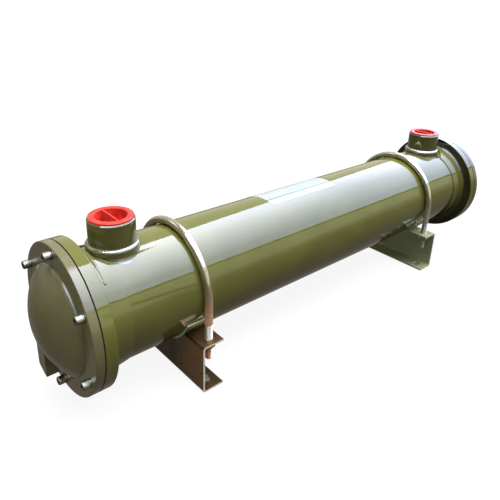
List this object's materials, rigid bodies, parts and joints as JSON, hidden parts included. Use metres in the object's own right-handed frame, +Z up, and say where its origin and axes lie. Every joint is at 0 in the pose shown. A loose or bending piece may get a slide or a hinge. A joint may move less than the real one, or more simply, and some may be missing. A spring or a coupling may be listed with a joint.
{
  "type": "shell and tube heat exchanger",
  "caption": "Shell and tube oil cooler: a long painted steel shell with flanged domed ends, plugged pipe sockets and U-bolted sheet steel feet.",
  "frame": {"origin": "ground level, at the centre of the rectangle of foot holes, under the middle of the shell", "axes": "+X along the shell axis towards the channel cover with the water sockets, +Z up"},
  "size_m": [1.0122, 0.214, 0.269],
  "materials": {
    "olive_paint": "gloss",
    "cover_paint": "gloss",
    "gasket_black": "matte",
    "screw_steel": "satin",
    "plug_red": "gloss",
    "bracket_steel": "gloss",
    "saddle_steel": "satin",
    "zinc_steel": "satin"
  },
  "bodies": {
    "root": {"shell_tube": "olive_paint", "return_flange": "olive_paint", "return_gasket": "gasket_black", "return_cover": "cover_paint", "return_screw_1": "screw_steel", "return_screw_2": "screw_steel", "return_screw_3": "screw_steel", "return_screw_4": "screw_steel", "return_screw_5": "screw_steel", "return_screw_6": "screw_steel", "return_bracket": "bracket_steel", "return_saddle": "saddle_steel", "return_u_bolt": "zinc_steel", "return_nut_front": "zinc_steel", "return_nut_rear": "zinc_steel", "channel_flange": "olive_paint", "channel_gasket": "gasket_black", "channel_cover": "cover_paint", "channel_screw_1": "screw_steel", "channel_screw_2": "screw_steel", "channel_screw_3": "screw_steel", "channel_screw_4": "screw_steel", "channel_screw_5": "screw_steel", "channel_screw_6": "screw_steel", "channel_bracket": "bracket_steel", "channel_saddle": "saddle_steel", "channel_u_bolt": "zinc_steel", "channel_nut_front": "zinc_steel", "channel_nut_rear": "zinc_steel", "oil_inlet_socket": "olive_paint", "oil_inlet_weld": "olive_paint", "oil_inlet_plug": "plug_red", "water_inlet_plug": "plug_red", "oil_outlet_socket": "olive_paint", "oil_outlet_weld": "olive_paint", "oil_outlet_plug": "plug_red", "water_outlet_plug": "plug_red"}
  },
  "joints": []
}
